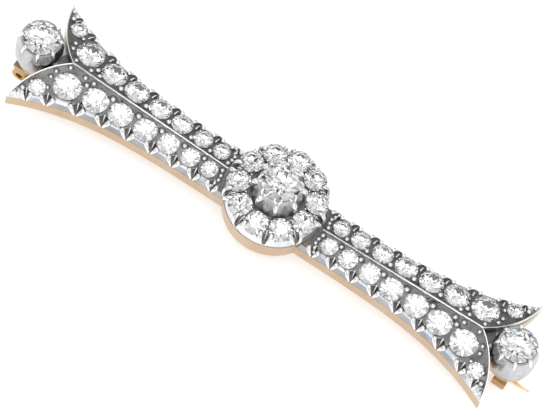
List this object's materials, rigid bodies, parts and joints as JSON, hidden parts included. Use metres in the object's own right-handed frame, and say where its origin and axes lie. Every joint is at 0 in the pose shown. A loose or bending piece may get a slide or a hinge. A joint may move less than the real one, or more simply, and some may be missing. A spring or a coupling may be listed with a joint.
{
  "type": "bar brooch",
  "caption": "Bar brooch with a round stone-set cluster between two flared, ridged wings that end in leaf points and collet stones, with a hinged pin and hook behind.",
  "frame": {"origin": "the middle of the gold back's rear face, on the axis of the cluster, where the brooch lies against cloth", "axes": "+X along the bar from the hinge to the hook, +Z out of the face, +Y across the bar"},
  "size_m": [0.0608, 0.012, 0.0095],
  "materials": {
    "gold": "soft polish, pale rose gold",
    "pin_gold": "polished, yellow gold",
    "silver": "bright edges and claws, darkened between the stones",
    "diamond": "polished facets"
  },
  "bodies": {
    "brooch": {"gold_back": "gold", "silver_wing_left": "silver", "silver_wing_right": "silver", "cluster_setting": "silver", "middle_collet": "silver", "end_collet_left": "silver", "end_collet_right": "silver", "wing_stones_left_upper": "diamond", "wing_stones_left_lower": "diamond", "wing_stones_right_upper": "diamond", "wing_stones_right_lower": "diamond", "halo_stones": "diamond", "middle_stone": "diamond", "end_stone_left": "diamond", "end_stone_right": "diamond", "hinge_rivet": "pin_gold"},
    "pin": {"pin": "pin_gold"}
  },
  "joints": [
    {"name": "pin_hinge", "type": "hinge", "parent": "brooch", "child": "pin", "pos_m": [-0.0283, 0, -0.0016], "axis": [0, 1, 0], "range_deg": [0, 110]}
  ]
}
